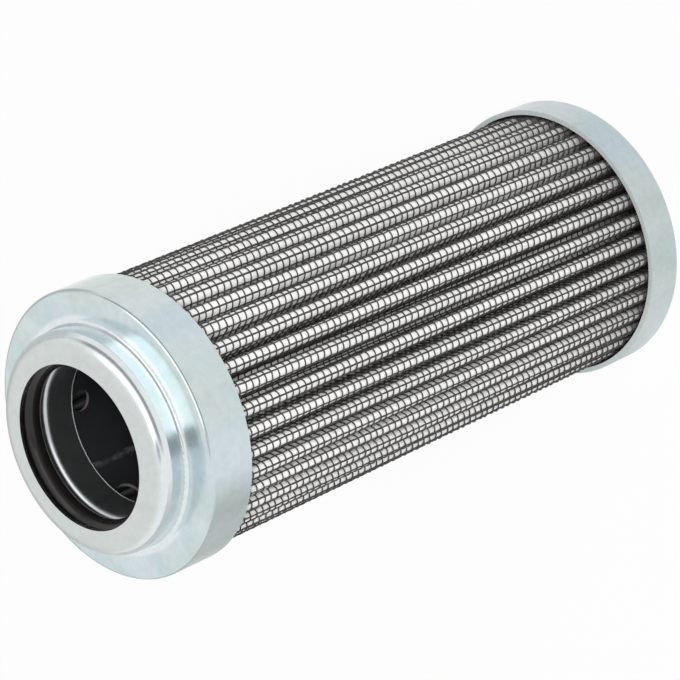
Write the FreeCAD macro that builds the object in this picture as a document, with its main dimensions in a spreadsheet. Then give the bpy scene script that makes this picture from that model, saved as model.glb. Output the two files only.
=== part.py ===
import FreeCAD, Part
import math
import os
import Sketcher

# Oil filter element: a pleated pack of wire cloth and glass fibre round a perforated core,
# glued between two drawn steel end caps. It stands on its closed rear cap, with the axis
# along +Z and the oil outlet at the top.

doc = FreeCAD.newDocument("oil_filter_element")
sheet = doc.addObject("Spreadsheet::Sheet", "Sizes")

# Driving dimensions, in millimetres and degrees.
SIZES = {
    "cap_distance": 110.1,        # rear face to front flange face
    "cap_radius": 23.5,
    "cap_sheet": 0.8,
    "cap_edge_radius": 0.9,
    "front_skirt": 8.4,
    "rear_skirt": 7.1,
    "neck_height": 5.4,
    "neck_top_radius": 2.5,
    "neck_foot_radius": 0.6,
    "collar_radius": 12.67,       # inside of the collar
    "collar_sheet": 0.8,
    "collar_bend": 1.0,
    "collar_length": 5.74,
    "collar_fit": 0.02,
    "ring_section": 3.53,
    "ring_reach": 0.17,           # how far the O-ring stands inside the collar, to seal
    "groove_depth_play": 1.27,    # O-ring to the neck's wall
    "groove_width_play": 0.17,    # O-ring to the lip
    "lip_step": 0.75,             # outlet's edge outside the collar
    "core_fit": 0.05,
    "core_sheet": 0.6,
    "hole_radius": 1.75,
    "hole_rows": 8,
    "holes_round": 5,
    "hole_margin": 5.15,          # core end to the first row's centre
    "hole_turn": 11.3,            # where the rows start round the axis
    "seam_radius": 0.5,
    "seam_turn": 199.8,           # between two lines of holes
    "seam_end_gap": 0.3,          # collar end to the ground-off end of the seam
    "potting_depth": 1.5,
    "pack_gap": 0.22,             # fold tips to the cap's skirt
    "pack_fit": 0.1,              # folds to the core
    "pleat_count": 39,
    "tip_radius": 1.2,            # outside of a fold at its tip
    "valley_radius": 0.1,         # outside of a fold at its foot
    "outer_mesh_sheet": 0.4,
    "media_sheet": 0.35,
    "inner_mesh_sheet": 0.25,
}
for row, (alias, number) in enumerate(SIZES.items(), 1):
    sheet.set(f"A{row}", alias)
    sheet.set(f"B{row}", str(number))
    sheet.setAlias(f"B{row}", alias)
doc.recompute()

# Places that several pieces share, as expressions on the sheet.
CAP_BORE = "(Sizes.cap_radius - Sizes.cap_sheet)"
RING_BORE = "(Sizes.collar_radius - Sizes.ring_reach)"
NECK_BORE = f"({RING_BORE} + Sizes.ring_section + Sizes.groove_depth_play)"
NECK_OUTER = f"({NECK_BORE} + Sizes.cap_sheet)"
LIP_TOP = "(Sizes.cap_distance + Sizes.neck_height)"
GROOVE_TOP = f"({LIP_TOP} - Sizes.cap_sheet)"
GROOVE_FLOOR = f"({GROOVE_TOP} - Sizes.ring_section - Sizes.groove_width_play)"
COLLAR_OUTER = "(Sizes.collar_radius + Sizes.collar_sheet)"
COLLAR_END = f"({GROOVE_FLOOR} - Sizes.collar_length)"
CORE_BORE = f"({COLLAR_OUTER} + Sizes.core_fit)"
CORE_OUTER = f"({CORE_BORE} + Sizes.core_sheet)"
PACK_REAR = "(Sizes.cap_sheet + Sizes.potting_depth)"
PACK_FRONT = "(Sizes.cap_distance - Sizes.cap_sheet - Sizes.potting_depth)"
PACK_OUTER = f"({CAP_BORE} - Sizes.pack_gap)"
PACK_SHEET = "(Sizes.outer_mesh_sheet + Sizes.media_sheet + Sizes.inner_mesh_sheet)"


def size(expression):
    """The number that an expression on the sheet has now."""
    result = sheet.evalExpression(expression)
    return float(getattr(result, "Value", result))


def new_body(label):
    body = doc.addObject("PartDesign::Body", label)
    body.Label = label
    return body


def new_sketch(body, name, role):
    """A sketch on one of the body's own origin planes."""
    sketch = body.newObject("Sketcher::SketchObject", name)
    plane = next(part for part in body.Origin.OriginFeatures if part.Role == role)
    sketch.AttachmentSupport = [(plane, "")]
    sketch.MapMode = "FlatFace"
    return sketch


def bind(sketch, constraint, expression):
    """Add a dimension whose value follows the sheet."""
    index = sketch.addConstraint(constraint)
    sketch.setExpression(f"Constraints[{index}]", expression)


def draw_outline(sketch, corners):
    """A closed outline of straight lines, each corner placed by two expressions."""
    points = [FreeCAD.Vector(size(across), size(up), 0) for across, up in corners]
    following = points[1:] + points[:1]
    for start, end in zip(points, following):
        sketch.addGeometry(Part.LineSegment(start, end))
    for index, (across, up) in enumerate(corners):
        after = (index + 1) % len(corners)
        sketch.addConstraint(Sketcher.Constraint("Coincident", index, 2, after, 1))
        if across == "0":
            sketch.addConstraint(Sketcher.Constraint("PointOnObject", index, 1, -2))
        else:
            bind(sketch, Sketcher.Constraint("DistanceX", -1, 1, index, 1, points[index].x), across)
        if up == "0":
            sketch.addConstraint(Sketcher.Constraint("PointOnObject", index, 1, -1))
        else:
            bind(sketch, Sketcher.Constraint("DistanceY", -1, 1, index, 1, points[index].y), up)


def draw_circle(sketch, radius, across="0", up="0"):
    """A circle whose radius and centre are expressions."""
    centre = FreeCAD.Vector(size(across), size(up), 0)
    index = sketch.addGeometry(Part.Circle(centre, FreeCAD.Vector(0, 0, 1), size(radius)))
    bind(sketch, Sketcher.Constraint("Radius", index, size(radius)), radius)
    if across == "0":
        sketch.addConstraint(Sketcher.Constraint("PointOnObject", index, 3, -2))
    else:
        bind(sketch, Sketcher.Constraint("DistanceX", -1, 1, index, 3, centre.x), across)
    if up == "0":
        sketch.addConstraint(Sketcher.Constraint("PointOnObject", index, 3, -1))
    else:
        bind(sketch, Sketcher.Constraint("DistanceY", -1, 1, index, 3, centre.y), up)


def revolve(body, name, corners):
    """Turn an outline in the XZ plane round the axis."""
    sketch = new_sketch(body, name + "_section", "XZ_Plane")
    draw_outline(sketch, corners)
    turned = body.newObject("PartDesign::Revolution", name)
    turned.Profile = sketch
    turned.ReferenceAxis = (sketch, ["V_Axis"])
    turned.Angle = 360
    doc.recompute()
    return turned


def round_edge(body, base, name, edge_radius, height, fillet_radius):
    """Fillet the circular edge that has this radius and height."""
    edges = []
    for index, edge in enumerate(base.Shape.Edges, 1):
        if not isinstance(edge.Curve, Part.Circle):
            continue
        same_radius = abs(edge.Curve.Radius - size(edge_radius)) < 1e-4
        same_height = abs(edge.Curve.Center.z - size(height)) < 1e-4
        if same_radius and same_height:
            edges.append(f"Edge{index}")
    fillet = body.newObject("PartDesign::Fillet", name)
    fillet.Base = (base, edges)
    fillet.setExpression("Radius", fillet_radius)
    doc.recompute()
    return fillet


def hollow(body, base, name, open_height):
    """Shell the solid inwards to the sheet's thickness, open at the flat face at this height."""
    faces = []
    for index, face in enumerate(base.Shape.Faces, 1):
        box = face.BoundBox
        if box.ZLength < 1e-6 and abs(box.ZMin - size(open_height)) < 1e-4:
            faces.append(f"Face{index}")
    shell = body.newObject("PartDesign::Thickness", name)
    shell.Base = (base, faces)
    shell.Reversed = True
    shell.Mode = "Skin"
    shell.Join = "Intersection"
    shell.setExpression("Value", "Sizes.cap_sheet")
    doc.recompute()
    return shell


def make_front_end_cap():
    """Drawn cup with a neck whose top turns in to a flat lip round the outlet."""
    body = new_body("front_end_cap")
    mouth = "(Sizes.cap_distance - Sizes.front_skirt)"
    blank = revolve(body, "front_blank", [
        ("0", mouth),
        ("Sizes.cap_radius", mouth),
        ("Sizes.cap_radius", "Sizes.cap_distance"),
        (NECK_OUTER, "Sizes.cap_distance"),
        (NECK_OUTER, LIP_TOP),
        ("0", LIP_TOP),
    ])
    edge = round_edge(body, blank, "flange_edge", "Sizes.cap_radius", "Sizes.cap_distance",
                      "Sizes.cap_edge_radius")
    foot = round_edge(body, edge, "neck_foot", NECK_OUTER, "Sizes.cap_distance",
                      "Sizes.neck_foot_radius")
    shoulder = round_edge(body, foot, "neck_shoulder", NECK_OUTER, LIP_TOP, "Sizes.neck_top_radius")
    hollow(body, shoulder, "front_cup", mouth)
    outlet = new_sketch(body, "outlet_section", "XY_Plane")
    draw_circle(outlet, "Sizes.collar_radius + Sizes.lip_step")
    opening = body.newObject("PartDesign::Pocket", "outlet")
    opening.Profile = outlet
    opening.Midplane = True
    opening.setExpression("Length", f"2 * {LIP_TOP} + 2 * Sizes.cap_sheet")
    doc.recompute()
    return body


def make_rear_end_cap():
    """Drawn cup with a closed flat back."""
    body = new_body("rear_end_cap")
    blank = revolve(body, "rear_blank", [
        ("0", "0"),
        ("Sizes.cap_radius", "0"),
        ("Sizes.cap_radius", "Sizes.rear_skirt"),
        ("0", "Sizes.rear_skirt"),
    ])
    edge = round_edge(body, blank, "rear_edge", "Sizes.cap_radius", "0", "Sizes.cap_edge_radius")
    hollow(body, edge, "rear_cup", "Sizes.rear_skirt")
    return body


def make_seal_retainer():
    """Flanged collar pressed into the neck: its flange is the floor of the O-ring's groove."""
    body = new_body("seal_retainer")
    flange_outer = f"({NECK_BORE} - Sizes.collar_fit)"
    flange_back = f"({GROOVE_FLOOR} - Sizes.collar_sheet)"
    blank = revolve(body, "collar_blank", [
        ("Sizes.collar_radius", COLLAR_END),
        (COLLAR_OUTER, COLLAR_END),
        (COLLAR_OUTER, flange_back),
        (flange_outer, flange_back),
        (flange_outer, GROOVE_FLOOR),
        ("Sizes.collar_radius", GROOVE_FLOOR),
    ])
    bend = round_edge(body, blank, "collar_bend", "Sizes.collar_radius", GROOVE_FLOOR,
                      "Sizes.collar_bend")
    round_edge(body, bend, "collar_bend_back", COLLAR_OUTER, flange_back,
               "Sizes.collar_bend - Sizes.collar_sheet")
    return body


def make_o_ring():
    """Rubber ring of round section, lying on the collar's flange."""
    ring = doc.addObject("Part::Torus", "o_ring")
    ring.Label = "o_ring"
    ring.setExpression("Radius1", f"{RING_BORE} + Sizes.ring_section / 2")
    ring.setExpression("Radius2", "Sizes.ring_section / 2")
    ring.setExpression("Placement.Base.z", f"{GROOVE_FLOOR} + Sizes.ring_section / 2")
    return ring


def make_ring_body(label, inner, outer, bottom, length):
    """A plain ring, or a disc where it has no inner radius, padded up from its bottom face."""
    body = new_body(label)
    section = new_sketch(body, label + "_section", "XY_Plane")
    section.setExpression("AttachmentOffset.Base.z", bottom)
    draw_circle(section, outer)
    if inner:
        draw_circle(section, inner)
    pad = body.newObject("PartDesign::Pad", label + "_pad")
    pad.Profile = section
    pad.setExpression("Length", length)
    doc.recompute()
    return body


def make_potting(label, inner, bottom, cap_face):
    """Hard adhesive that fills the cap's floor up to its rounded corner."""
    body = make_ring_body(label, inner, CAP_BORE, bottom, "Sizes.potting_depth")
    round_edge(body, body.Tip, label + "_corner", CAP_BORE, cap_face,
               "Sizes.cap_edge_radius - Sizes.cap_sheet")
    return body


def drill_holes(body):
    """One line of holes along the tube, through the wall and repeated round the axis."""
    line = new_sketch(body, "hole_line", "YZ_Plane")
    line.AttachmentOffset = FreeCAD.Placement(FreeCAD.Vector(), FreeCAD.Vector(0, 1, 0),
                                              size("Sizes.hole_turn"))
    line.setExpression("AttachmentOffset.Rotation.Angle", "Sizes.hole_turn")
    spacing = f"({PACK_FRONT} - {PACK_REAR} - 2 * Sizes.hole_margin) / (Sizes.hole_rows - 1)"
    for row in range(int(size("Sizes.hole_rows"))):
        height = f"{PACK_FRONT} - Sizes.hole_margin - {row} * {spacing}"
        draw_circle(line, "Sizes.hole_radius", "0", height)
    drill = body.newObject("PartDesign::Pocket", "holes")
    drill.Profile = line
    drill.Reversed = True
    drill.setExpression("Length", f"{CORE_OUTER} + Sizes.core_sheet")
    doc.recompute()
    pattern = body.newObject("PartDesign::PolarPattern", "holes_round_the_tube")
    pattern.Originals = [drill]
    axis = next(part for part in body.Origin.OriginFeatures if part.Role == "Z_Axis")
    pattern.Axis = (axis, [""])
    pattern.Angle = 360
    pattern.setExpression("Occurrences", "Sizes.holes_round")
    body.Tip = pattern
    doc.recompute()


def make_core_tube():
    """Rolled perforated tube with straight rows of round holes and a weld between two of them."""
    length = f"{PACK_FRONT} - {PACK_REAR}"
    body = make_ring_body("core_tube", CORE_BORE, CORE_OUTER, PACK_REAR, length)
    drill_holes(body)
    bead = new_sketch(body, "seam_section", "XY_Plane")
    bead.setExpression("AttachmentOffset.Base.z", PACK_REAR)
    draw_circle(bead, "Sizes.seam_radius", f"{CORE_BORE} * cos(Sizes.seam_turn)",
                f"{CORE_BORE} * sin(Sizes.seam_turn)")
    seam = body.newObject("PartDesign::Pad", "seam")
    seam.Profile = bead
    seam.setExpression("Length", f"{COLLAR_END} - Sizes.seam_end_gap - {PACK_REAR}")
    doc.recompute()
    return body


def fold_points(middle_radius, direction, reach, start, sweep):
    """Corners of one rounded fold; a wider fold gets more of them."""
    steps = 2 + round(3 * reach)
    for step in range(steps + 1):
        angle = start + sweep * step / steps
        yield FreeCAD.Vector(
            middle_radius * math.cos(direction) + reach * math.cos(angle),
            middle_radius * math.sin(direction) + reach * math.sin(angle),
            0,
        )


def pleated_line(depth):
    """The closed line of the folds, this deep under the pack's outer face."""
    count = int(size("Sizes.pleat_count"))
    half_pitch = math.pi / count
    tip = size("Sizes.tip_radius")
    valley = size("Sizes.valley_radius")
    tip_at = size(f"{PACK_OUTER} - Sizes.tip_radius")
    valley_at = size(f"{CORE_OUTER} + Sizes.pack_fit + {PACK_SHEET} + Sizes.valley_radius")
    # Each leg is the inner tangent of a tip's circle and the next valley's circle.
    across = valley_at * math.sin(half_pitch)
    outward = valley_at * math.cos(half_pitch) - tip_at
    apart = math.hypot(across, outward)
    tip_sweep = math.atan2(across, outward) - math.acos((tip + valley) / apart)
    valley_sweep = tip_sweep - half_pitch
    points = []
    for pleat in range(count):
        crest = 2 * half_pitch * pleat
        foot = crest + half_pitch
        points += fold_points(tip_at, crest, tip - depth, crest - tip_sweep, 2 * tip_sweep)
        points += fold_points(valley_at, foot, valley + depth, foot + math.pi + valley_sweep,
                              -2 * valley_sweep)
    return Part.makePolygon(points + points[:1])


def make_pleated_sheet(label, depth, sheet_thickness):
    """One layer of the pack: a sheet folded into pleats, drawn on end and raised to its height."""
    outline = doc.addObject("Part::Feature", label + "_outline")
    outer_line = pleated_line(size(depth))
    inner_line = pleated_line(size(f"{depth} + {sheet_thickness}"))
    outline.Shape = Part.makeFace([outer_line, inner_line], "Part::FaceMakerBullseye")
    layer = doc.addObject("Part::Extrusion", label)
    layer.Label = label
    layer.Base = outline
    layer.DirMode = "Custom"
    layer.Dir = FreeCAD.Vector(0, 0, 1)
    layer.Solid = True
    layer.setExpression("LengthFwd", f"{PACK_FRONT} - {PACK_REAR}")
    layer.setExpression("Placement.Base.z", PACK_REAR)
    return layer


pieces = [
    make_rear_end_cap(),
    make_potting("rear_potting", None, "Sizes.cap_sheet", "Sizes.cap_sheet"),
    make_core_tube(),
    make_pleated_sheet("inner_mesh", "Sizes.outer_mesh_sheet + Sizes.media_sheet",
                       "Sizes.inner_mesh_sheet"),
    make_pleated_sheet("filter_media", "Sizes.outer_mesh_sheet", "Sizes.media_sheet"),
    make_pleated_sheet("outer_mesh", "0", "Sizes.outer_mesh_sheet"),
    make_potting("front_potting", COLLAR_OUTER, PACK_FRONT, "Sizes.cap_distance - Sizes.cap_sheet"),
    make_seal_retainer(),
    make_o_ring(),
    make_front_end_cap(),
]
doc.recompute()

for item in doc.Objects:
    if "Invalid" in item.State or "Error" in item.State:
        raise RuntimeError(f"{item.Label} failed: {item.State}")
for piece in pieces:
    if piece.Shape.isNull() or not piece.Shape.isValid():
        raise RuntimeError(f"{piece.Label} has no valid shape")

os.makedirs("parts", exist_ok=True)
for piece in pieces:
    piece.Shape.exportStep(f"parts/{piece.Label}.step")
    box = piece.Shape.BoundBox
    print(f"{piece.Label}: {len(piece.Shape.Solids)} solid, {piece.Shape.Volume:.1f} mm3, "
          f"z {box.ZMin:.2f} to {box.ZMax:.2f}")
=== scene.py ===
import math

import bpy
import numpy as np
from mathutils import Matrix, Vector


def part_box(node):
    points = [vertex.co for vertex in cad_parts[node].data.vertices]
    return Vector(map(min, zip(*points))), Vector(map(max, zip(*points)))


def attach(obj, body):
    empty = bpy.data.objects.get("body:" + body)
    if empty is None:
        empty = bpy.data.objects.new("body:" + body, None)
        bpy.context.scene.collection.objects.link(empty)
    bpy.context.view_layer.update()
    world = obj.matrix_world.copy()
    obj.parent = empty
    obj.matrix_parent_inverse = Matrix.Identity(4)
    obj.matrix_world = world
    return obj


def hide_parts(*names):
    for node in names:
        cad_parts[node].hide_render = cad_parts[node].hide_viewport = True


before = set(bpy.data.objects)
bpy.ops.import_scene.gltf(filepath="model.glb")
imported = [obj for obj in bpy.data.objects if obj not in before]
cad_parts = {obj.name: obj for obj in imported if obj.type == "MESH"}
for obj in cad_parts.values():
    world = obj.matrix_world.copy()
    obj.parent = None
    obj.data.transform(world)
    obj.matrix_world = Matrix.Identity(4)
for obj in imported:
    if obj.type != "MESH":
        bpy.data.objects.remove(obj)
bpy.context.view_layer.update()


# Rear end cap: a closed cup drawn from 0.8 mm steel sheet and zinc plated.
# The thin blue passivate over the zinc gives its pale, slightly cloudy tint.
# It is glued over the rear end of the pleated pack.
MM = 0.001


class Signal:
    """One value in a shader. Arithmetic on it adds Math nodes to its tree."""

    def __init__(self, tree, socket=None):
        """Without a socket it has no value, and is only where a tree's first node is added."""
        self.tree = tree
        self.socket = socket

    def node(self, kind, settings, inputs, output=0):
        """Add a node: settings first, then a number, a colour or a signal for each socket."""
        made = self.tree.nodes.new(kind)
        for name, setting in settings.items():
            setattr(made, name, setting)
        for name, given in inputs.items():
            if isinstance(given, Signal):
                self.tree.links.new(given.socket, made.inputs[name])
            else:
                made.inputs[name].default_value = given
        return Signal(self.tree, made.outputs[output])

    def maths(self, operation, first, second):
        return self.node("ShaderNodeMath", {"operation": operation}, {0: first, 1: second})

    def __add__(self, other):
        return self.maths("ADD", self, other)

    def __radd__(self, other):
        return self.maths("ADD", other, self)

    def __sub__(self, other):
        return self.maths("SUBTRACT", self, other)

    def __rsub__(self, other):
        return self.maths("SUBTRACT", other, self)

    def __mul__(self, other):
        return self.maths("MULTIPLY", self, other)

    def __rmul__(self, other):
        return self.maths("MULTIPLY", other, self)

    def larger(self, other):
        return self.maths("MAXIMUM", self, other)

    def vectors(self, operation, other=(0, 0, 0), output=0):
        """Vector Math on this value. Its output 0 is a vector and its output 1 a number."""
        return self.node("ShaderNodeVectorMath", {"operation": operation}, {0: self, 1: other}, output)

    def ramp(self, start, end):
        """0 below start, 1 above end, smooth between them."""
        settings = {"interpolation_type": "SMOOTHSTEP"}
        inputs = {"Value": self, "From Min": start, "From Max": end}
        return self.node("ShaderNodeMapRange", settings, inputs)

    def band(self, start, full, fade, end):
        """0 below start and above end, 1 from full to fade, smooth between them."""
        return self.ramp(start, full) * (1 - self.ramp(fade, end))

    def noise(self, size, detail=3.0, stretch=(1.0, 1.0, 1.0)):
        """Cloudy variation from 0 to 1 whose patches are about this size, in metres."""
        placed = self.vectors("MULTIPLY", tuple(way / size for way in stretch))
        return self.node("ShaderNodeTexNoise", {}, {"Vector": placed, "Scale": 1.0, "Detail": detail})

    def blend(self, low, high):
        """The colour low where this value is 0, and high where it is 1."""
        settings = {"data_type": "RGBA"}
        return self.node("ShaderNodeMix", settings, {0: self, 6: low, 7: high}, output=2)

    def shade(self, colour, darkest, lightest):
        """The colour, darkened or lightened in step with this value."""
        settings = {"data_type": "RGBA", "blend_type": "MULTIPLY"}
        greys = self.blend(grey(darkest), grey(lightest))
        return self.node("ShaderNodeMix", settings, {0: 1.0, 6: colour, 7: greys}, output=2)

    def bump(self, height, strength=1.0):
        inputs = {"Height": self, "Distance": height, "Strength": strength}
        return self.node("ShaderNodeBump", {}, inputs)


def grey(level):
    return (level, level, level, 1)


def new_finish(name, **constants):
    """A material, its surface shader, and the place on the object as a signal."""
    material = bpy.data.materials.new(name)
    material.use_nodes = True
    shader = material.node_tree.nodes["Principled BSDF"]
    for socket, constant in constants.items():
        shader.inputs[socket.replace("_", " ")].default_value = constant
    place = Signal(material.node_tree).node("ShaderNodeTexCoord", {}, {}, output="Object")
    return material, shader, place


def feed(shader, **signals):
    """Link each signal to the shader's socket of that name."""
    for socket, signal in signals.items():
        signal.tree.links.new(signal.socket, shader.inputs[socket.replace("_", " ")])


def height_of(place):
    """Height above the rear face, in metres."""
    return place.node("ShaderNodeSeparateXYZ", {}, {0: place}, output=2)


def flattened(place):
    """The place moved along the axis to the rear face."""
    return place.vectors("MULTIPLY", (1, 1, 0))


def radius_of(place):
    """Distance from the axis, in metres."""
    return flattened(place).vectors("LENGTH", output=1)


def dress(node, material):
    """Give a piece of the frame its finish."""
    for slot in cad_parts[node].material_slots:
        slot.material = material


NECK_HEIGHT = 5.4 * MM
LIP_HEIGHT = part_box("front_end_cap")[1].z
FLANGE_HEIGHT = LIP_HEIGHT - NECK_HEIGHT
LIP_SATIN_FROM = LIP_HEIGHT - 0.95 * MM
LIP_SATIN_FULL = LIP_HEIGHT - 0.2 * MM
NECK_FOOT = 19.0 * MM              # radius at which the flange turns up into the neck
NECK_FOOT_END = NECK_FOOT + 0.8 * MM
REAR_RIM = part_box("rear_end_cap")[1].z
SHEAR_DEPTH = 0.06 * MM            # how far the bare cut edge reaches down from the rear rim
ZINC_BLUE = (0.575, 0.675, 0.72, 1)
ZINC_GREEN = (0.57, 0.66, 0.63, 1)
ZINC_GREY = (0.625, 0.660, 0.645, 1)
ZINC_PALE = (0.70, 0.76, 0.78, 1)
ZINC_NECK_SHEEN = (0.79, 0.84, 0.855, 1)
SHEARED_EDGE = (0.66, 0.72, 0.72, 1)
CLOUD_SIZE = 13 * MM
STREAK_SIZE = 7 * MM
MOTTLE_SIZE = 1.4 * MM
GRAIN_SIZE = 0.30 * MM
DRAWN_MARK_SIZE = 0.5 * MM
ZINC_RELIEF = 0.006 * MM


def make_zinc():
    material, shader, place = new_finish("zinc_plate")
    height = height_of(place)
    clouds = place.noise(CLOUD_SIZE, 2.0).ramp(0.40, 0.64)
    streaks = place.noise(STREAK_SIZE, 2.0, (1.0, 1.0, 0.25)).ramp(0.36, 0.70)
    mottle = place.noise(MOTTLE_SIZE, 4.0)
    grain = place.noise(GRAIN_SIZE, 3.0)
    drawn_marks = place.noise(DRAWN_MARK_SIZE, 3.0, (1.0, 1.0, 0.12))
    lip = height.ramp(LIP_SATIN_FROM, LIP_SATIN_FULL)
    # Painted sheen: the neck and the flange round its foot are lighter, for the light they mirror.
    neck_sheen = (height.ramp(FLANGE_HEIGHT - MM, FLANGE_HEIGHT)
             * (1 - radius_of(place).ramp(NECK_FOOT, NECK_FOOT_END)))
    sheared = height.band(REAR_RIM - SHEAR_DEPTH, REAR_RIM, REAR_RIM, REAR_RIM + MM)
    passivate = (streaks * 0.55).blend(clouds.blend(ZINC_BLUE, ZINC_GREEN), ZINC_PALE)
    sheened = (neck_sheen * 0.8).blend(passivate, ZINC_NECK_SHEEN)
    greyed = (lip * 0.85).blend(sheened, ZINC_GREY)
    worn = (mottle * 0.7 + grain * 0.3).ramp(0.30, 0.70)
    speckled = worn.shade(greyed, 0.945, 1.035)
    relief = drawn_marks + mottle * 2 + lip * grain * 2
    feed(shader,
         Base_Color=sheared.blend(speckled, SHEARED_EDGE),
         Roughness=0.10 + 0.08 * mottle + 0.04 * clouds + 0.17 * lip + 0.5 * sheared,
         Metallic=1 - 0.8 * sheared,
         Normal=relief.bump(ZINC_RELIEF, 0.6))
    return material


zinc = make_zinc()
dress("rear_end_cap", zinc)


# Potting: a disc of hard adhesive in the rear cap and a ring of it in the front cap.
# The pleats were stood in it while it was liquid, so it wets every fold.
# Only dark slivers of it show down between the pleats and the caps.
ADHESIVE_DARK = (0.020, 0.020, 0.022, 1)
ADHESIVE_LIGHT = (0.040, 0.038, 0.036, 1)
FLOW_SIZE = 2.5 * MM
FLOW_RELIEF = 0.2 * MM


def make_adhesive():
    material, shader, place = new_finish("adhesive", Metallic=0.0)
    flow = place.noise(FLOW_SIZE, 2.0)
    feed(shader,
         Base_Color=flow.blend(ADHESIVE_DARK, ADHESIVE_LIGHT),
         Roughness=0.25 + 0.3 * flow,
         Normal=flow.bump(FLOW_RELIEF))
    return material


adhesive = make_adhesive()
dress("rear_potting", adhesive)
dress("front_potting", adhesive)


# Core tube: perforated steel sheet rolled into a tube and welded along one seam.
# It carries the pressure on the folds. It is blackened all over, but the weld and the
# punched walls of its holes stay brighter.
CORE_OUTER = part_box("core_tube")[1].x
CORE_BORE = CORE_OUTER - 0.6 * MM
WALL_FROM = CORE_BORE + 0.02 * MM      # radius past which the wall of a hole is bare
WALL_FULL = CORE_BORE + 0.15 * MM
SEAM_TURN = math.radians(199.8)
SEAM_PLACE = (CORE_BORE * math.cos(SEAM_TURN), CORE_BORE * math.sin(SEAM_TURN), 0)
WELD_FULL = 0.15 * MM                  # half of the weld's width, where it is brightest
WELD_END = 0.65 * MM                   # and where it has faded out
WELD_WANDER = 0.8 * MM                 # how far its edges move in and out
WELD_PATCH = 2.5 * MM
FIBRE_SIZE = 0.45 * MM
HAZE_SIZE = 5 * MM
ROLLED_SIZE = 0.4 * MM
ROLLED_RELIEF = 0.01 * MM
STEEL_BLACK = (0.016, 0.019, 0.020, 1)
STEEL_HAZY = (0.030, 0.034, 0.036, 1)
STEEL_BARE = grey(0.50)


def make_core_steel():
    material, shader, place = new_finish("core_steel", Specular_IOR_Level=0.4)
    haze = place.noise(HAZE_SIZE, 3.0)
    grain = place.noise(ROLLED_SIZE, 2.0, (1.0, 1.0, 0.2))
    fibres = place.noise(FIBRE_SIZE, 4.0, (1.0, 1.0, 0.15)).ramp(0.30, 0.70)
    from_seam = flattened(place).vectors("DISTANCE", SEAM_PLACE, output=1)
    ragged = from_seam + (place.noise(WELD_PATCH, 3.0) - 0.5) * WELD_WANDER
    weld = (1 - ragged.ramp(WELD_FULL, WELD_END)) * (0.20 + 0.60 * fibres)
    bare = weld.larger(radius_of(place).ramp(WALL_FROM, WALL_FULL) * 0.4)
    feed(shader,
         Base_Color=bare.blend(haze.blend(STEEL_BLACK, STEEL_HAZY), STEEL_BARE),
         Metallic=bare * 0.5,
         Roughness=0.28 + 0.2 * haze,
         Normal=grain.bump(ROLLED_RELIEF))
    return material


dress("core_tube", make_core_steel())


# Pleated pack: wire cloth, glass fibre and wire cloth again, folded together into 39 pleats
# round the core. Glass fibre does the filtering, and the black-coated cloth holds its folds.
# They are pressed together so tightly that outside they close a few millimetres down.
PLEATS = 39
HALF_PITCH = math.pi / PLEATS
TIP_RADIUS = 1.32 * MM
GROOVE_DEPTH = 4.5 * MM            # from a crest down to the floor of the groove beside it
GROOVE_RADIUS = 0.34 * MM
INNER_VALLEY_RADIUS = 0.1 * MM
OUTER_CLOTH = 0.4 * MM
MEDIA = 0.35 * MM
MEDIA_RISE = 0.08 * MM             # how far the soft sheet is pressed up into the cloth's cells
INNER_CLOTH = 0.25 * MM
CORE_GAP = 0.1 * MM

pack_lowest, pack_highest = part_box("outer_mesh")
PACK_REAR = pack_lowest.z
PACK_FRONT = pack_highest.z
PACK_LENGTH = PACK_FRONT - PACK_REAR
CREST_AT = pack_highest.x
TIP_AT = CREST_AT - TIP_RADIUS
PACK_SHEET = OUTER_CLOTH + MEDIA + INNER_CLOTH
OUTSIDE = (CREST_AT - GROOVE_DEPTH + GROOVE_RADIUS, GROOVE_RADIUS)
INSIDE = (CORE_OUTER + CORE_GAP + PACK_SHEET + INNER_VALLEY_RADIUS, INNER_VALLEY_RADIUS)


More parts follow.
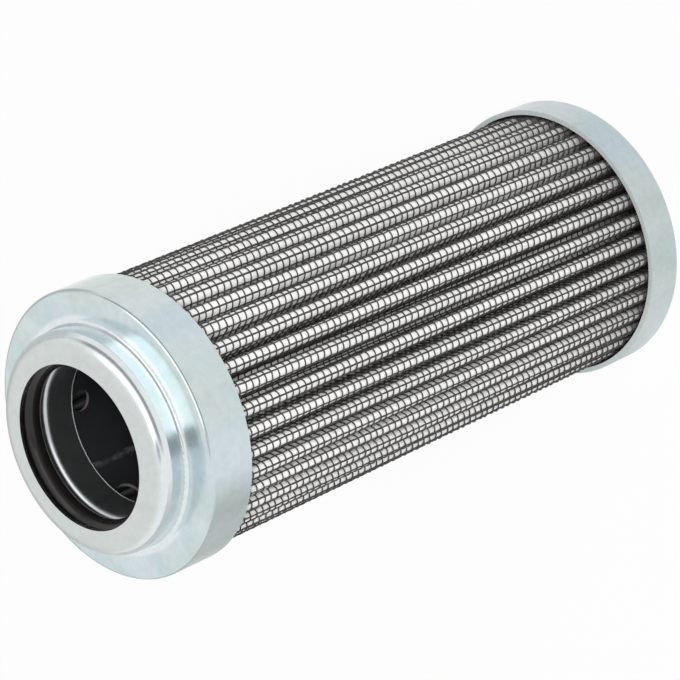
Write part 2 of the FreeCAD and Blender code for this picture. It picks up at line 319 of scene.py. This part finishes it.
class Fold:
    """The line that a layer follows: round a tip, straight down a leg, round a valley."""

    def __init__(self, depth, valley):
        """The layer's depth under the pack's face, and its valley's centre and radius there."""
        valley_at, valley_radius = valley
        self.tip = TIP_RADIUS - depth
        self.valley = valley_radius + depth
        across = valley_at * math.sin(HALF_PITCH)
        outward = valley_at * math.cos(HALF_PITCH) - TIP_AT
        apart = math.hypot(across, outward)
        both = self.tip + self.valley
        self.sweep = math.atan2(across, outward) - math.acos(both / apart)
        self.tip_end = self.tip * self.sweep
        self.leg_end = self.tip_end + math.sqrt(apart ** 2 - both ** 2)
        self.half = self.leg_end + self.valley * (self.sweep - HALF_PITCH)

    def stations(self, tip_steps, leg_steps, valley_steps):
        """Places along all the pleats where this layer gets a line of points."""
        one_side = np.concatenate([
            np.linspace(0, self.tip_end, tip_steps + 1)[:-1],
            np.linspace(self.tip_end, self.leg_end, leg_steps + 1)[:-1],
            np.linspace(self.leg_end, self.half, valley_steps + 1),
        ])
        one_pleat = np.concatenate([-one_side[-2:0:-1], one_side])
        return (one_pleat + 2 * self.half * np.arange(PLEATS)[:, None]).ravel()

    def line(self, along):
        """Points and outward normals at these lengths along the folds; a crest is at 0."""
        pleat = np.round(along / (2 * self.half))
        local = along - pleat * 2 * self.half
        side = np.where(local < 0, -1.0, 1.0)
        local = np.abs(local)
        on_leg = np.clip(local, self.tip_end, self.leg_end) - self.tip_end
        past_leg = np.maximum(local - self.leg_end, 0)
        facing = np.minimum(local, self.tip_end) / self.tip - past_leg / self.valley
        leg = self.leg_end - self.tip_end
        both = self.tip + self.valley
        foot_x = TIP_AT + both * math.cos(self.sweep) - leg * math.sin(self.sweep)
        foot_y = both * math.sin(self.sweep) + leg * math.cos(self.sweep)
        x = np.where(past_leg > 0, foot_x - self.valley * np.cos(facing),
                     TIP_AT + self.tip * np.cos(facing) - on_leg * math.sin(self.sweep))
        y = np.where(past_leg > 0, foot_y - self.valley * np.sin(facing),
                     self.tip * np.sin(facing) + on_leg * math.cos(self.sweep))
        points = [x, y * side]
        normals = [np.cos(facing), np.sin(facing) * side]
        spin = pleat * 2 * HALF_PITCH
        cosine, sine = np.cos(spin), np.sin(spin)
        turned = [np.stack([u * cosine - v * sine, u * sine + v * cosine], -1)
                  for u, v in (points, normals)]
        return turned[0], turned[1]


def waves(table, angle, along, middle=0.0):
    """Waves about a middle value. Each has a size, turns round the pack, turns along, a start."""
    return sum((size * np.sin(turns * angle + rate * along + start)
                for size, turns, rate, start in table), middle)


LEAN = math.radians(2.8)           # turn of the folds from the rear end to the front end
LEAN_WAVES = (                     # waver of hand work, in radians
    (0.0035, 7, 2.0, 0.4),
    (0.0030, 13, -3.1, 2.2),
    (0.0022, 19, 1.4, 4.0),
    (0.0015, 3, 9.0, 1.0),
)
SWAY = 0.028                       # turn of a groove's floor against its crests, in radians
SWAY_WAVES = ((0.008, 11, 1.3, 0.9), (0.007, 17, -1.1, 2.6))
SWAY_LIMIT = 1.5                   # groove depths below which the sway grows no more


def lean_over(points):
    """Turn every point round the axis as the folds lean, with the slight waver of hand work."""
    x, y, z = points[..., 0], points[..., 1], points[..., 2]
    share = (z - PACK_REAR) / PACK_LENGTH - 0.5
    angle = np.arctan2(y, x)
    depth = np.clip((CREST_AT - np.hypot(x, y)) / GROOVE_DEPTH, 0, SWAY_LIMIT)
    sway = waves(SWAY_WAVES, angle, share, SWAY)
    turn = LEAN * share + waves(LEAN_WAVES, angle, share) - sway * depth
    cosine, sine = np.cos(turn), np.sin(turn)
    return np.stack([x * cosine - y * sine, x * sine + y * cosine, z], -1)


def add_piece(name, points, quads, material, node):
    """A mesh of four-sided faces that stands for a piece of the frame."""
    points = np.asarray(points, np.float32).reshape(-1, 3)
    quads = np.asarray(quads, np.int32).reshape(-1, 4)
    mesh = bpy.data.meshes.new(name)
    mesh.vertices.add(len(points))
    mesh.vertices.foreach_set("co", points.ravel())
    mesh.loops.add(quads.size)
    mesh.loops.foreach_set("vertex_index", quads.ravel())
    mesh.polygons.add(len(quads))
    mesh.polygons.foreach_set("loop_start", np.arange(0, quads.size, 4, dtype=np.int32))
    mesh.polygons.foreach_set("use_smooth", np.ones(len(quads), bool))
    mesh.update(calc_edges=True)
    mesh.materials.append(material)
    piece = bpy.data.objects.new(name, mesh)
    bpy.context.scene.collection.objects.link(piece)
    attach(piece, "root")
    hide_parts(node)


def grid_quads(rows, columns):
    """Faces between neighbouring rows and columns of points; the columns close on themselves."""
    row, column = np.meshgrid(np.arange(rows - 1), np.arange(columns), indexing="ij")
    after = (column + 1) % columns
    return np.stack([row * columns + column, row * columns + after,
                     (row + 1) * columns + after, (row + 1) * columns + column], -1)


SHEET_ROWS = 5
SHEET_STEPS = (7, 3, 4)            # on half a tip, a leg and half a valley


def pleated_sheet(name, outer_fold, inner_fold, material, node):
    """One leaned, pleated sheet between two lines of folds, closed at both ends."""
    layers = []
    for fold in (outer_fold, inner_fold):
        line, _ = fold.line(fold.stations(*SHEET_STEPS))
        layer = np.zeros((SHEET_ROWS, len(line), 3))
        layer[..., :2] = line
        layer[..., 2] = np.linspace(PACK_REAR, PACK_FRONT, SHEET_ROWS)[:, None]
        layers.append(layer)
    columns = layers[0].shape[1]
    count = SHEET_ROWS * columns
    outside = grid_quads(SHEET_ROWS, columns)
    inside = outside[..., ::-1] + count
    column = np.arange(columns)
    after = (column + 1) % columns
    top = (SHEET_ROWS - 1) * columns
    rear = np.stack([after, column, column + count, after + count], -1)
    front = np.stack([column, after, after + count, column + count], -1) + top
    quads = np.concatenate([outside.reshape(-1, 4), inside.reshape(-1, 4), rear, front])
    add_piece(name, lean_over(np.stack(layers)), quads, material, node)


FELT_SIZE = 0.35 * MM
FELT_RELIEF = 0.06 * MM
PATCH_SIZE = 6 * MM
FIBRE_SHADED = (0.92, 0.915, 0.905, 1)
FIBRE_WHITE = (0.98, 0.975, 0.965, 1)
COAT_SIZE = 0.5 * MM
COAT_RELIEF = 0.02 * MM


def make_glass_fibre():
    material, shader, place = new_finish("glass_fibre", Metallic=0.0, Roughness=0.85,
                                         Specular_IOR_Level=0.25)
    felt = place.noise(FELT_SIZE, 4.0)
    patches = place.noise(PATCH_SIZE, 2.0)
    feed(shader,
         Base_Color=(felt * 0.6 + patches * 0.4).blend(FIBRE_SHADED, FIBRE_WHITE),
         Normal=felt.bump(FELT_RELIEF))
    return material


def make_black_wire(name, darkest, lightest):
    material, shader, place = new_finish(name, Metallic=0.0, Specular_IOR_Level=0.5)
    coat = place.noise(COAT_SIZE, 3.0)
    feed(shader,
         Base_Color=coat.blend(darkest, lightest),
         Roughness=0.34 + 0.25 * coat,
         Normal=coat.bump(COAT_RELIEF))
    return material


black_wire = make_black_wire("black_wire", (0.040, 0.038, 0.036, 1), (0.072, 0.068, 0.066, 1))
# The inner cloth is a plain sheet, so its near-black colour is painted shade: the dark gaps between
# its wires.
inner_cloth_shade = make_black_wire("inner_cloth_shade", (0.004, 0.004, 0.004, 1), (0.012, 0.012, 0.011, 1))
media_back = Fold(OUTER_CLOTH + MEDIA, INSIDE)
pleated_sheet("inner_wire_cloth", media_back, Fold(PACK_SHEET, INSIDE), inner_cloth_shade,
              "inner_mesh")
pleated_sheet("glass_fibre_sheet", Fold(OUTER_CLOTH - MEDIA_RISE, OUTSIDE), media_back,
              make_glass_fibre(), "filter_media")

WIRE_RADIUS = 0.14 * MM
WEAVE = 0.06 * MM                  # how far a wire rises and falls at each crossing
MESH_PITCH = 1.411 * MM            # 18 wires to the inch
DRIFT = 0.010                      # slant of the lengthwise wires across the folds
RING_STEPS = (5, 3, 3)             # on half a tip, a leg and half a valley
RING_WAVES = ((0.05, 5, 0.9, 0), (0.04, 11, 2.3, 0))    # how far a ring wire strays, in mm

cloth = Fold(OUTER_CLOTH / 2, OUTSIDE)
RING_COUNT = round(PACK_LENGTH / MESH_PITCH)
RING_PITCH = PACK_LENGTH / RING_COUNT
FIRST_RING = PACK_REAR + RING_PITCH / 2
CLOTH_LENGTH = 2 * PLEATS * cloth.half
LENGTHWISE_COUNT = 2 * round(CLOTH_LENGTH / MESH_PITCH / 2)
LENGTHWISE_PITCH = CLOTH_LENGTH / LENGTHWISE_COUNT
CORNERS = math.pi / 2 * np.arange(4)


def drift(height):
    """How far the lengthwise wires have moved along the folds at this height."""
    return DRIFT * (height - (PACK_REAR + PACK_FRONT) / 2)


def ring_wires(name, first, last):
    """Wires that run round the pack, in and out of every fold."""
    along = cloth.stations(*RING_STEPS)
    line, normal = cloth.line(along)
    ring = np.arange(first, last)[:, None]
    angle = np.arctan2(line[:, 1], line[:, 0])[None, :]
    height = FIRST_RING + RING_PITCH * ring + waves(RING_WAVES, angle, ring) * MM
    crossing = math.pi * (along - drift(height)) / LENGTHWISE_PITCH + math.pi * ring
    rise = WEAVE * np.cos(crossing)
    points = np.zeros((len(ring), len(along), 4, 3))
    reach = rise[..., None] + WIRE_RADIUS * np.cos(CORNERS)
    points[..., :2] = line[None, :, None, :] + reach[..., None] * normal[None, :, None, :]
    points[..., 2] = height[..., None] + WIRE_RADIUS * np.sin(CORNERS)
    stations_round = len(along)
    station, corner = np.meshgrid(np.arange(stations_round), np.arange(4), indexing="ij")
    after = (station + 1) % stations_round
    next_corner = (corner + 1) % 4
    one = np.stack([station * 4 + corner, after * 4 + corner, after * 4 + next_corner,
                    station * 4 + next_corner], -1).reshape(-1, 4)
    quads = one[None] + np.arange(len(ring))[:, None, None] * stations_round * 4
    add_piece(name, lean_over(points), quads, black_wire, "outer_mesh")


def lengthwise_wires(name, first, last):
    """Wires that run along the folds from end to end."""
    steps = 2 * RING_COUNT
    wire = np.arange(first, last)[:, None]
    height = np.linspace(PACK_REAR, PACK_FRONT, steps + 1)[None, :]
    line, normal = cloth.line(wire * LENGTHWISE_PITCH + drift(height))
    tangent = np.stack([-normal[..., 1], normal[..., 0]], -1)
    crossing = math.pi * (height - FIRST_RING) / RING_PITCH + math.pi * wire
    rise = -WEAVE * np.cos(crossing)
    reach = rise[..., None] + WIRE_RADIUS * np.cos(CORNERS)
    points = np.zeros((len(wire), steps + 1, 4, 3))
    points[..., :2] = (line[:, :, None, :] + reach[..., None] * normal[:, :, None, :]
                       + WIRE_RADIUS * np.sin(CORNERS)[:, None] * tangent[:, :, None, :])
    points[..., 2] = height[..., None]
    one = grid_quads(steps + 1, 4).reshape(-1, 4)
    rear_end = [[3, 2, 1, 0]]
    front_end = [[4 * steps, 4 * steps + 1, 4 * steps + 2, 4 * steps + 3]]
    one = np.concatenate([one, rear_end, front_end])
    quads = one[None] + np.arange(len(wire))[:, None, None] * (steps + 1) * 4
    add_piece(name, lean_over(points), quads, black_wire, "outer_mesh")


quarter = RING_COUNT // 4
ring_wires("ring_wires_rear", 0, quarter)
ring_wires("ring_wires_middle_rear", quarter, 2 * quarter)
ring_wires("ring_wires_middle_front", 2 * quarter, 3 * quarter)
ring_wires("ring_wires_front", 3 * quarter, RING_COUNT)
half_way = LENGTHWISE_COUNT // 2
lengthwise_wires("lengthwise_wires_left", 0, half_way)
lengthwise_wires("lengthwise_wires_right", half_way, LENGTHWISE_COUNT)


# Seal retainer: a flanged collar pressed from steel sheet and zinc plated.
# It is pressed into the neck, its flange is the floor of the O-ring's groove,
# and its bent edge stays bright where the head's spigot slides in.
COLLAR_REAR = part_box("seal_retainer")[0].z
CUT_END = COLLAR_REAR + 0.05 * MM      # the bare cut edge (painted highlight) starts to give way to plating here
PLATED_FROM = COLLAR_REAR + 0.20 * MM
COLLAR_MOTTLE_SIZE = 1.5 * MM
COLLAR_RELIEF = 0.0015 * MM
COLLAR_DARK = (0.52, 0.54, 0.55, 1)
COLLAR_LIGHT = (0.64, 0.66, 0.67, 1)
COLLAR_CUT_HIGHLIGHT = grey(0.85)


def make_collar_zinc():
    material, shader, place = new_finish("collar_zinc")
    mottle = place.noise(COLLAR_MOTTLE_SIZE, 3.0)
    # The cut edge is real. Its pale, non-metal colour is painted highlight, a bright line.
    cut_highlight = 1 - height_of(place).ramp(CUT_END, PLATED_FROM)
    feed(shader,
         Base_Color=cut_highlight.blend(mottle.blend(COLLAR_DARK, COLLAR_LIGHT), COLLAR_CUT_HIGHLIGHT),
         Metallic=(1 - cut_highlight) * 0.95,
         Roughness=0.24 + 0.12 * mottle,
         Normal=mottle.bump(COLLAR_RELIEF))
    return material


dress("seal_retainer", make_collar_zinc())


# O-ring: black nitrile rubber, moulded, lightly greased.
# It lies in the groove between the lip and the collar, and seals on the head's spigot.
BLOOM_SIZE = 3 * MM
RUBBER_GRAIN_SIZE = 0.15 * MM
RUBBER_RELIEF = 0.003 * MM
RUBBER_DARK = (0.009, 0.008, 0.008, 1)
RUBBER_BLOOM = (0.018, 0.016, 0.015, 1)


def make_rubber():
    material, shader, place = new_finish("seal_rubber", Metallic=0.0, Specular_IOR_Level=0.36)
    bloom = place.noise(BLOOM_SIZE, 3.0)
    grain = place.noise(RUBBER_GRAIN_SIZE, 2.0)
    feed(shader,
         Base_Color=bloom.blend(RUBBER_DARK, RUBBER_BLOOM),
         Roughness=0.10 + 0.12 * bloom,
         Normal=grain.bump(RUBBER_RELIEF))
    return material


dress("o_ring", make_rubber())


# Front end cap: the same drawn and plated sheet as the rear cap, with a neck
# whose top is turned in to a flat, satin lip round the outlet.
dress("front_end_cap", zinc)


# Studio: a plain pale floor under the filter, a soft white surround, and three soft lamps
# at a plain level. What the metal mirrors of the room and the shade painted on the floor for
# mirrors are seen by mirrored rays alone, so the backdrop stays white.
HALF_FLOOR = 1.5
BACKDROP = 0.92                    # how much of the floor a viewer or a mirror sees as plain white
MIRRORED_SHADE_LEVEL = 0.66                        # how bright a mirror shows the floor where shade is painted on it
FOOT_SHADOW_SHARE = 0.4                    # share of the painted shadow right round the filter's foot
NEAR_RING = (24 * MM, 60 * MM)     # distances from the axis over which it fades out
SHADE_SIDE = (-0.50, -0.86, 0)      # toward the side where shade is painted on the floor
SHADE_SIDE_SPREAD = (0.30, 0.95)         # cosines of the angles off that side: none, and all of it
FAR_AZIMUTH = 160                  # toward the room beyond the table, in degrees
FAR_SPREAD = (0.55, 0.85)
FAR_RING = (165 * MM, 210 * MM)    # distances from the axis over which shade is painted on the floor there


def ray(start, kind):
    """1 for rays of this kind and 0 for others."""
    return start.node("ShaderNodeLightPath", {}, {}, output=f"Is {kind} Ray")


def background(start, mirrored=1.0):
    """How much a ray shows of the background: all of it straight or through glass."""
    direct = ray(start, "Camera").larger(ray(start, "Transmission"))
    return direct.larger(ray(start, "Glossy") * mirrored)


def direction(azimuth, elevation=0):
    """The unit vector at these angles, in degrees."""
    turn, lift = math.radians(azimuth), math.radians(elevation)
    return (math.cos(lift) * math.cos(turn), math.cos(lift) * math.sin(turn), math.sin(lift))


def make_floor():
    material, shader, place = new_finish("pale_floor", Base_Color=grey(0.95), Roughness=0.9,
                                         Specular_IOR_Level=0.1)
    outward = place.vectors("NORMALIZE")
    radius = radius_of(place)
    # Painted shade, seen by mirrored rays only: a shadow round the filter's foot, shade on one side,
    # and shade far off beyond the table.
    foot_shadow = (1 - radius.ramp(*NEAR_RING)) * FOOT_SHADOW_SHARE
    side_shade = outward.vectors("DOT_PRODUCT", SHADE_SIDE, output=1).ramp(*SHADE_SIDE_SPREAD)
    beyond = outward.vectors("DOT_PRODUCT", direction(FAR_AZIMUTH), output=1).ramp(*FAR_SPREAD)
    painted_shade = foot_shadow.larger(side_shade).larger(beyond * radius.ramp(*FAR_RING))
    plain_white = place.node("ShaderNodeEmission", {}, {})
    shade_grey = place.node("ShaderNodeEmission", {}, {"Strength": MIRRORED_SHADE_LEVEL})
    backdrop = place.node("ShaderNodeMixShader", {},
                          {0: ray(place, "Glossy") * painted_shade, 1: plain_white, 2: shade_grey})
    lit = Signal(place.tree, shader.outputs[0])
    surface = place.node("ShaderNodeMixShader", {},
                         {0: background(place) * BACKDROP, 1: lit, 2: backdrop})
    feed(place.tree.nodes["Material Output"], Surface=surface)
    return material


floor_mesh = bpy.data.meshes.new("floor")
floor_corners = [(-HALF_FLOOR, -HALF_FLOOR, 0), (HALF_FLOOR, -HALF_FLOOR, 0),
                 (HALF_FLOOR, HALF_FLOOR, 0), (-HALF_FLOOR, HALF_FLOOR, 0)]
floor_mesh.from_pydata(floor_corners, [], [(0, 1, 2, 3)])
floor_mesh.materials.append(make_floor())
floor = bpy.data.objects.new("floor", floor_mesh)
bpy.context.scene.collection.objects.link(floor)

# The metal mirrors a dim room low down, a bright softbox above it, the dark tripod,
# and the duller room beyond the table. A spread is the cosines of the angles off a thing's
# middle where it ends and is full. A rise is the sines of elevations where it starts,
# is full, fades and ends.
SURROUND = 0.34                    # light from all round, where the backdrop shows as 1
ROOM_AZIMUTH = 42
ROOM_SPREAD = (0.20, 0.60)
ROOM_RISE = (0.05, 0.13, 0.36, 0.47)
ROOM_DEPTH = 0.95                  # how much of the white it takes from a reflection
SOFTBOX_AZIMUTH = 37
SOFTBOX_ELEVATION = 43
SOFTBOX_SPREAD = (0.70, 0.78)
SOFTBOX_RISE = (0.50, 0.58, 0.80, 0.88)
SOFTBOX_LIGHT = 1.3                # how much it adds to the white
TRIPOD_AZIMUTH = -30
TRIPOD_ELEVATION = 41
TRIPOD_SPREAD = (0.978, 0.998)
TRIPOD_DEPTH = 0.8
FAR_FADE = (0.22, 0.34)            # sines of the elevations over which the far room fades out
FAR_DEPTH = 0.5

world = bpy.data.worlds.new("studio")
world.use_nodes = True
bpy.context.scene.world = world
surround = world.node_tree.nodes["Background"]
surround.inputs["Color"].default_value = grey(1)
way = Signal(world.node_tree).node("ShaderNodeTexCoord", {}, {}, output="Generated")
rise = height_of(way)


def toward(azimuth, elevation=0):
    """The cosine of the angle between a ray and this direction, in degrees."""
    return way.vectors("DOT_PRODUCT", direction(azimuth, elevation), output=1)


room = toward(ROOM_AZIMUTH).ramp(*ROOM_SPREAD) * rise.band(*ROOM_RISE)
softbox = toward(SOFTBOX_AZIMUTH, SOFTBOX_ELEVATION).ramp(*SOFTBOX_SPREAD) * rise.band(*SOFTBOX_RISE)
tripod = toward(TRIPOD_AZIMUTH, TRIPOD_ELEVATION).ramp(*TRIPOD_SPREAD)
far_room = toward(FAR_AZIMUTH).ramp(*FAR_SPREAD) * (1 - rise.ramp(*FAR_FADE))
mirrored = ((1 - room * ROOM_DEPTH + softbox * SOFTBOX_LIGHT) * (1 - tripod * TRIPOD_DEPTH)
            * (1 - far_room * FAR_DEPTH))
feed(surround, Strength=background(way, mirrored) * (1 - SURROUND) + SURROUND)

MIDDLE = (0, 0, LIP_HEIGHT / 2)


def add_lamp(name, place, size, power):
    """A round soft lamp aimed at the filter's middle. Only its light shows."""
    light = bpy.data.lights.new(name, "AREA")
    light.shape = "DISK"
    light.size = size
    light.energy = power
    lamp = bpy.data.objects.new(name, light)
    lamp.location = place
    lamp.rotation_euler = (Vector(MIDDLE) - Vector(place)).to_track_quat("-Z", "Y").to_euler()
    lamp.visible_camera = False
    lamp.visible_glossy = False
    bpy.context.scene.collection.objects.link(lamp)


add_lamp("high_lamp", place=(0.58, 0.10, 0.78), size=0.80, power=2.2)
add_lamp("front_lamp", place=(0.66, 0.055, 0.63), size=0.45, power=3.3)
add_lamp("back_lamp", place=(-0.55, -0.45, 0.50), size=0.60, power=2.0)

CAMERA_PLACE = (445.80 * MM, 37.30 * MM, 446.25 * MM)
CAMERA_TURN = (-24.976, 43.749, -29.054)
CAMERA_LENS = 193.349
camera_data = bpy.data.cameras.new("camera")
camera_data.lens = CAMERA_LENS
camera_data.sensor_width = 36
camera_data.clip_start = 0.01
camera_data.clip_end = 20
camera = bpy.data.objects.new("camera", camera_data)
camera.location = CAMERA_PLACE
camera.rotation_euler = [math.radians(angle) for angle in CAMERA_TURN]
bpy.context.scene.collection.objects.link(camera)
bpy.context.scene.camera = camera
bpy.context.scene.view_settings.view_transform = "Standard"
